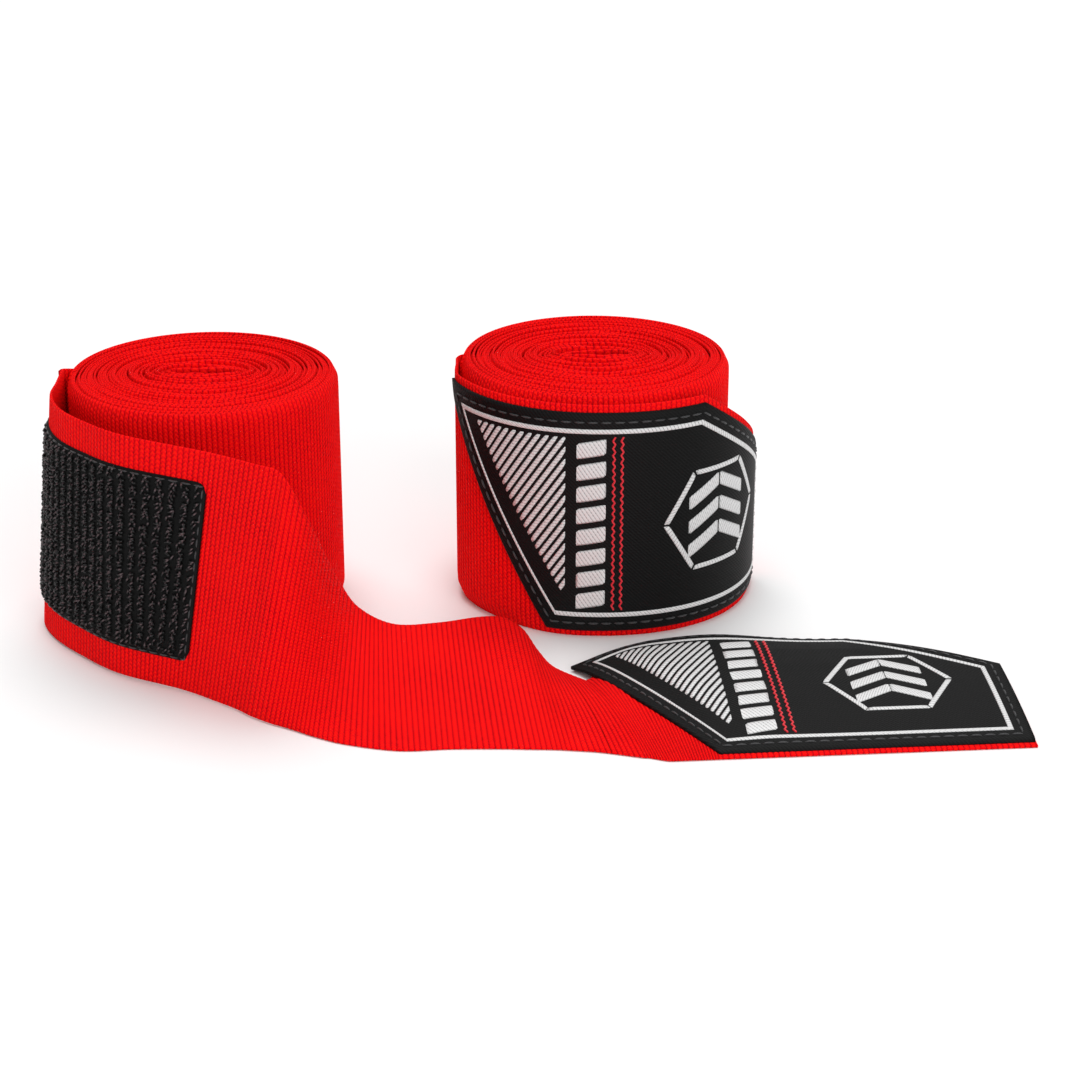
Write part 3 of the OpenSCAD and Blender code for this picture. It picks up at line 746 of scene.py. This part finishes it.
dome = dict(across=np.array([0, 0.12, 0.32, 0.5, 0.68, 0.88, 1.0]),
            up=np.array([0, 0.75, 0.97, 1.0, 0.97, 0.75, 0]), sunk=0.08, endSunk=0.04)
onTop = label["thick"]


def domedBand(name, place, sideA, sideB, height, closeAlong=False):
    # a raised band between two rows of points, (bands, stations, 2) each: across it the points run
    # evenly from one row to the other, and the height follows the dome's table
    k = len(sideA)
    f = np.concatenate([dome["across"], dome["across"][::-1][1:-1]])
    up = np.concatenate([dome["up"] * height, -dome["sunk"] + 0 * dome["up"][1:-1]])
    p = sideA[:, :, None] + (sideB - sideA)[:, :, None] * f[None, None, :, None]
    nn = onTop + np.broadcast_to(up, p.shape[:3]).copy()
    if not closeAlong:
        nn[:, [0, -1]] = onTop - dome["endSunk"]
    pts = place(p[..., 0], p[..., 1], nn)
    step = np.linalg.norm(np.diff(sideA, axis=1), axis=2)
    run = np.concatenate([np.zeros((k, 1)), np.cumsum(step, 1)], 1)
    width = np.linalg.norm(sideB - sideA, axis=2)
    uv = np.stack([np.broadcast_to(run[:, :, None], nn.shape), width[:, :, None] * f], -1)
    return buildPiece(name, pts, uv, whiteSatin, closeAlong)


def clipLines(offsets, direction, limits):
    # lines offset sideways from the origin; each limit a . p <= b cuts a line at
    # (b - start . a) / (a . direction), and the result is where it enters and leaves them all
    normal = np.array([-direction[1], direction[0]])
    start = offsets[..., None] * normal
    low, high = np.full(offsets.shape, -1e3), np.full(offsets.shape, 1e3)
    for a, b in limits:
        rate, room = a @ direction, b - start @ a
        low = np.where(rate < 0, np.maximum(low, room / rate), low)
        high = np.where(rate > 0, np.minimum(high, room / rate), high)
    return start, low, high


stripes = dict(angle=57, pitch=1.42, width=0.92, height=0.14,
               slantGap=2.7, topGap=0.8, reach=3.8)  # kept clear of the border, and how far right they go


def stripeField(name, place):
    # parallel raised stripes in the triangle between the slanted edge, the top and a straight side;
    # a stripe's height is the root of 1 - (2 k) squared across it
    angle = math.radians(stripes["angle"])
    d = np.array([math.cos(angle), math.sin(angle)])
    slantNormal = np.array([-labelW, -label["slant"]]) / slantLen
    borderIn = label["inset"] + label["line"]
    limits = [(slantNormal, slantNormal @ np.array([0, labelW]) - (borderIn + stripes["slantGap"])),
              (np.array([0, 1.0]), labelW - borderIn - stripes["topGap"]),
              (np.array([1.0, 0]), label["slant"] + stripes["reach"])]
    centre = np.arange(-30, 60) * stripes["pitch"]
    k = np.linspace(-0.5, 0.5, 7)
    start, low, high = clipLines(centre[:, None] + k[None, :] * stripes["width"], d, limits)
    good = ((high - low) > 0.5).all(1)
    start, low, high = start[good], low[good], high[good]
    s = np.linspace(0, 1, 14)
    along = low[:, None, :] + (high - low)[:, None, :] * s[None, :, None]
    p = start[:, None] + along[..., None] * d
    up = np.sqrt(np.maximum(0, 1 - (2 * k) ** 2)) * stripes["height"]
    nn = onTop + np.broadcast_to(up, p.shape[:3]).copy()
    nn[:, [0, -1]] -= 0.12
    under = p[:, :, ::-1][:, :, 1:-1]
    p = np.concatenate([p, under], 2)
    nn = np.concatenate([nn, np.full(under.shape[:3], onTop - dome["sunk"])], 2)
    pts = place(p[..., 0], p[..., 1], nn)
    uv = np.stack([p @ d, p @ np.array([-d[1], d[0]])], -1)
    return buildPiece(name, pts, uv, whiteSatin)


# at is right and up from the end of the slanted side, and run is how far right and up a block goes
blocks = dict(count=8, at=(5.8, 4.9), pitch=4.65, run=(6.2, 1.1), tall=3.4, height=0.12)


def blockColumn(name, place):
    # plain blocks one above another, each a straight band that leans up to the right
    s = np.linspace(0, 1, 9)[:, None]
    left, low = blocks["at"]
    sideA = np.array([np.array([label["slant"] + left, low + j * blocks["pitch"]]) + s * blocks["run"]
                      for j in range(blocks["count"])])
    return domedBand(name, place, sideA, sideA + [0, blocks["tall"]], blocks["height"])


badge = dict(at=(63.0, 22.5), radius=12.8, line=1.25, flatten=0.98, height=0.15,
             chevrons=3, low=8.2, pitch=5.2,     # the lowest chevron is this far below the middle
             half=7.4, rise=4.2, bar=3.0)        # half a chevron's width, its rise, and how tall a bar is


def badgeBands(name, place):
    # six sides between corners at radius (cos, sin) of 60 degrees each, and chevrons of two bars that
    # fall away from the middle
    s = np.linspace(0, 1, 12)[:, None]
    turn = np.radians(np.arange(7) * 60)
    corner = np.stack([np.cos(turn), np.sin(turn) * badge["flatten"]], -1)
    outer = badge["at"] + corner * badge["radius"]
    inner = badge["at"] + corner * (badge["radius"] - badge["line"])
    sideA = [outer[j] + (outer[j + 1] - outer[j]) * s for j in range(6)]
    sideB = [inner[j] + (inner[j + 1] - inner[j]) * s for j in range(6)]
    x, y = badge["at"]
    for j in range(badge["chevrons"]):
        peak = y - badge["low"] + j * badge["pitch"] + badge["rise"]
        for m in (-1, 1):
            bar = np.array([x, peak]) + s * np.array([m * badge["half"], -badge["rise"]])
            sideA.append(bar)
            sideB.append(bar + [0, badge["bar"]])
    return domedBand(name, place, np.array(sideA), np.array(sideB), badge["height"])


def threadTube(name, place, path, radius, height, material, sides):
    # a thread as a thin tube: path is (threads, stations, 2), and round each station the radius times
    # cos goes sideways and times sin goes up from the centre's height above the label
    d = np.gradient(path, axis=1)
    d /= np.linalg.norm(d, axis=2, keepdims=True) + 1e-9
    normal = np.stack([-d[..., 1], d[..., 0]], -1)
    q = np.linspace(0, 2 * math.pi, sides, endpoint=False)
    rr = np.broadcast_to(radius, path.shape[:2])[..., None]
    p = path[:, :, None] + normal[:, :, None] * (rr * np.cos(q))[..., None]
    nn = np.broadcast_to(height, path.shape[:2])[..., None] + rr * np.sin(q)
    pts = place(p[..., 0], p[..., 1], nn)
    run = np.cumsum(np.linalg.norm(np.gradient(path, axis=1), axis=2), 1)
    around = q * (radius if np.isscalar(radius) else 0.15)
    uv = np.stack([np.broadcast_to(run[..., None], nn.shape), np.broadcast_to(around, nn.shape)], -1)
    return buildPiece(name, pts, uv, material)


labelStitch = dict(inset=1.9, long=2.1, gap=0.5, radius=0.2)
hookStitch = dict(inset=0.6, long=1.9, gap=0.6, radius=0.17)


def stitchRow(name, place, ring, stitch, base):
    # lockstitches laid end to end along a closed ring: short capsules whose radius goes with the root
    # of 1 - (2 s - 1) to the power 4, and whose middle rises by half a sine from the base
    closed = np.concatenate([ring, ring[:1]])
    run = np.concatenate([[0], np.cumsum(np.linalg.norm(np.diff(closed, axis=0), axis=1))])
    count = int(run[-1] // (stitch["long"] + stitch["gap"]))
    starts = np.arange(count) * run[-1] / count
    s = np.linspace(0, 1, 6)
    at = starts[:, None] + s[None, :] * stitch["long"]
    path = np.stack([np.interp(at, run, closed[:, 0]), np.interp(at, run, closed[:, 1])], -1)
    swell = stitch["radius"] * np.sqrt(np.maximum(0.08, 1 - (2 * s - 1) ** 4))
    rise = base - 0.05 + 0.13 * np.sin(math.pi * s)
    return threadTube(name, place, path, np.broadcast_to(swell, path.shape[:2]), rise, blackThread, 5)


# at is how far right of the slanted side's end each thread runs, and half is half its swing
zigzag = dict(at=(13.3, 14.9), half=0.24, pitch=1.55, radius=0.2, borderGap=0.6)


def zigzagLines(name, place):
    # two fine threads from border to border, each a triangle wave: asin(sin) of its place
    clear = label["inset"] + label["line"] + zigzag["borderGap"]
    y = np.linspace(clear, labelW - clear, 190)
    turn = zigzag["half"] * (2 / math.pi) * np.arcsin(np.sin(y * 2 * math.pi / zigzag["pitch"]))
    paths = np.array([np.stack([label["slant"] + x + turn, y], -1) for x in zigzag["at"]])
    return threadTube(name, place, paths, zigzag["radius"], onTop + 0.06, redThread, 6)


borderOut = outlineRing(label["inset"], label["inset"])[None]
borderIn = outlineRing(label["inset"] + label["line"], label["inset"] + label["thinLine"])[None]
stitchRing = outlineRing(labelStitch["inset"], labelStitch["inset"])
for which, place, body in (("open", onOpen, "open_label_end"), ("closed", onClosed, "closed_flap")):
    plate = labelPlate(which + "Label", place)
    pieces = [
        (domedBand(which + "LabelBorder", place, borderOut, borderIn, 0.14, closeAlong=True),
         which + "_label_border", "thread_white"),
        (stripeField(which + "LabelStripes", place), which + "_label_stripes", "thread_white"),
        (blockColumn(which + "LabelBlocks", place), None, "thread_white"),
        (badgeBands(which + "LabelBadge", place), which + "_label_badge", "thread_white"),
        (stitchRow(which + "LabelStitches", place, stitchRing, labelStitch, onTop),
         which + "_label_stitching", "thread_black"),
        (zigzagLines(which + "RedStitches", place), which + "_red_stitching", "thread_red")]
    finishPiece(plate, body, which + "_label")
    for piece, node, slotName in pieces:
        finishPiece(piece, body, node)
print("stage: labels done")


# hook patches
def onTail(length, v, n):
    # n above the loose strap's outer face
    return openSurface(length, v, t / 2 + n)


def onClosedCoil(length, v, n):
    # n above the closed coil, at the angle length / radius
    a = length / closedRadius
    r = closedRadius + n + 0.02
    half = coil["oval"] / 2
    return np.stack([-np.cos(a) * (r + half), -np.sin(a) * (r - half), v], -1) + closedAt


def hookTape(name, place, start):
    # tape with quarter-circle corners: near an end its edges draw in by c - sqrt(c c - (c - near)^2)
    length = np.linspace(0, hookPatch["length"], 90)
    c = hookPatch["corner"]
    near = np.minimum(np.minimum(length, hookPatch["length"] - length), c)
    pull = c - np.sqrt(np.maximum(0, c * c - (c - near) ** 2))
    q = np.concatenate([[0, 0.012, 0.04], np.linspace(0.12, 0.88, 8), [0.96, 0.988, 1.0]])
    up = np.concatenate([[0.35, 0.85, 1], np.ones(8), [1, 0.85, 0.35]]) * hookPatch["backing"]
    across = np.concatenate([q, q[::-1]])
    n = np.concatenate([up, 0.03 + 0 * up])
    lo = (w - hookPatch["width"]) / 2 + pull
    hi = (w + hookPatch["width"]) / 2 - pull
    vv = lo[:, None] + (hi - lo)[:, None] * across
    ll = np.broadcast_to((start + length)[:, None], vv.shape)
    pts = place(ll, vv, np.broadcast_to(n, vv.shape))
    return buildPiece(name, pts[None], np.stack([ll, vv], -1)[None], tapeTwill)


# real hooks are about 0.15 thick and 0.6 apart; these are coarser, so that single hooks show
hooks = dict(alongPitch=1.3, acrossPitch=0.9, strayAlong=0.12, strayAcross=0.16,
             turn=0.7, turnStray=0.5,       # how far a hook turns from the strap's length, in radians
             reach=1.15, rise=0.62, radius=0.24, taper=0.3, sunk=0.2, seed=5)


def hookField(name, place, start):
    # rows of bent filaments; neighbouring rows lean opposite ways, so pairs read as zigzag columns. Each
    # rises, arches over and comes back down like a crook: reach is s to the power 1.3, rise half a sine
    g = np.random.default_rng(hooks["seed"])
    ls = np.arange(1.5, hookPatch["length"] - 1.2, hooks["alongPitch"])
    vs = np.arange(1.3, hookPatch["width"] - 1.2, hooks["acrossPitch"])
    gl, gv = np.meshgrid(ls, vs, indexing="ij")
    lean = (np.where(np.arange(len(ls)) % 2 == 0, 1.0, -1.0)[:, None] + 0 * gl).ravel()
    gl = (gl + g.normal(0, hooks["strayAlong"], gl.shape)).ravel()
    gv = (gv + g.normal(0, hooks["strayAcross"], gv.shape)).ravel() + (w - hookPatch["width"]) / 2
    turn = g.normal(0, hooks["turnStray"], gl.shape) + hooks["turn"]
    size = g.uniform(0.8, 1.15, gl.shape)[:, None]
    s = np.linspace(0, 1, 8)
    reach = size * (hooks["reach"] * s ** 1.3)[None, :]
    rise = (hooks["rise"] * np.sin(math.pi * np.minimum(0.12 + s * 0.8, 1.0)))[None, :]
    low = hookPatch["backing"] - hooks["sunk"]
    pl = gl[:, None] + reach * (lean * np.cos(turn))[:, None]
    pv = gv[:, None] + reach * (np.sin(turn))[:, None]
    pn = low + size * rise * hookPatch["height"]
    q = np.linspace(0, 2 * math.pi, 5, endpoint=False)
    thick = hooks["radius"] * (1 - hooks["taper"] * s)[:, None]
    sideways = np.stack([-np.sin(turn), lean * np.cos(turn)], -1)
    cl = pl[:, :, None] + (thick * np.cos(q))[None] * sideways[:, None, None, 0]
    cv = pv[:, :, None] + (thick * np.cos(q))[None] * sideways[:, None, None, 1]
    cn = np.maximum(pn[:, :, None] + (thick * np.sin(q))[None], low)
    pts = place(start + cl, cv, cn)
    chance = g.uniform(0, 40, gl.shape)
    uv = np.stack([np.broadcast_to(s[None, :, None], cl.shape),
                   np.broadcast_to(chance[:, None, None], cl.shape)], -1)
    return buildPiece(name, pts, uv, hookNylon)


def patchRing(start):
    # forty points along each side of a rectangle just inside the tape
    inset = hookStitch["inset"]
    right, top = hookPatch["length"] - inset, hookPatch["width"] - inset
    box = np.array([[inset, inset], [right, inset], [right, top], [inset, top]])
    sides = [box[j] + (box[(j + 1) % 4] - box[j]) * (np.arange(40) / 40)[:, None] for j in range(4)]
    return np.concatenate(sides) + [start, (w - hookPatch["width"]) / 2]


for which, place, start, body in (("open", onTail, 4.0, "open_tail"),
                                  ("closed", onClosedCoil, hookStart, "closed_wrap")):
    tape = hookTape(which + "HookTape", place, start)
    field = hookField(which + "Hooks", place, start)
    finishPiece(tape, body, which + "_hook_backing")
    finishPiece(field, body, which + "_hooks")
    thread = stitchRow(which + "HookStitches", place, patchRing(start), hookStitch, hookPatch["backing"])
    finishPiece(thread, body, "open_hook_stitching" if which == "open" else None)
print("stage: hook patches done")

# floor, light, camera
studio = dict(floorHalf=3, worldLight=0.45,                     # floor in metres
              cameraPitch=22.8, cameraFar=0.5574, lens=2500 / 1080 * 36, sensor=36,
              lookAt=(0.0687, 0.0315, 0.0))                     # metres
scene = bpy.context.scene
side = studio["floorHalf"]
floorMesh = bpy.data.meshes.new("floor")
square = [(-side, -side, 0), (side, -side, 0), (side, side, 0), (-side, side, 0)]
floorMesh.from_pydata(square, [], [(0, 1, 2, 3)])
floor = bpy.data.objects.new("floor", floorMesh)
scene.collection.objects.link(floor)
# white paper sweep: matt, bounces light back without a shine
floorPaper = newMaterial("matt white sweep", Roughness=0.9, Specular_IOR_Level=0.1,
                         Base_Color=linear("#EEEEEE"))
floorMesh.materials.append(floorPaper[0])

world = bpy.data.worlds.new("studio")
scene.world = world
world.use_nodes = True
world.node_tree.nodes["Background"].inputs[0].default_value = (1, 1, 1, 1)
world.node_tree.nodes["Background"].inputs[1].default_value = studio["worldLight"]
scene.view_settings.view_transform = "Standard"


def softbox(name, power, spread, tilt, turn):
    # broad distant light: tilt is its lean from overhead towards the camera, turn swings it round
    light = bpy.data.lights.new(name, "SUN")
    light.energy, light.angle = power, math.radians(spread)
    lamp = bpy.data.objects.new(name, light)
    lamp.rotation_euler = (math.radians(tilt), 0, math.radians(turn))
    scene.collection.objects.link(lamp)


softbox("overhead softbox", 2.1, 40, -14, 8)
softbox("front fill", 1.5, 50, 70, 22)

cameraPitch = math.radians(studio["cameraPitch"])
cameraData = bpy.data.cameras.new("camera")
cameraData.lens, cameraData.sensor_width = studio["lens"], studio["sensor"]
camera = bpy.data.objects.new("camera", cameraData)
behind = np.array([0, -math.cos(cameraPitch), math.sin(cameraPitch)]) * studio["cameraFar"]
camera.location = np.array(studio["lookAt"]) + behind
camera.rotation_euler = (math.pi / 2 - cameraPitch, 0, 0)
scene.collection.objects.link(camera)
scene.camera = camera
print("stage: studio ready")
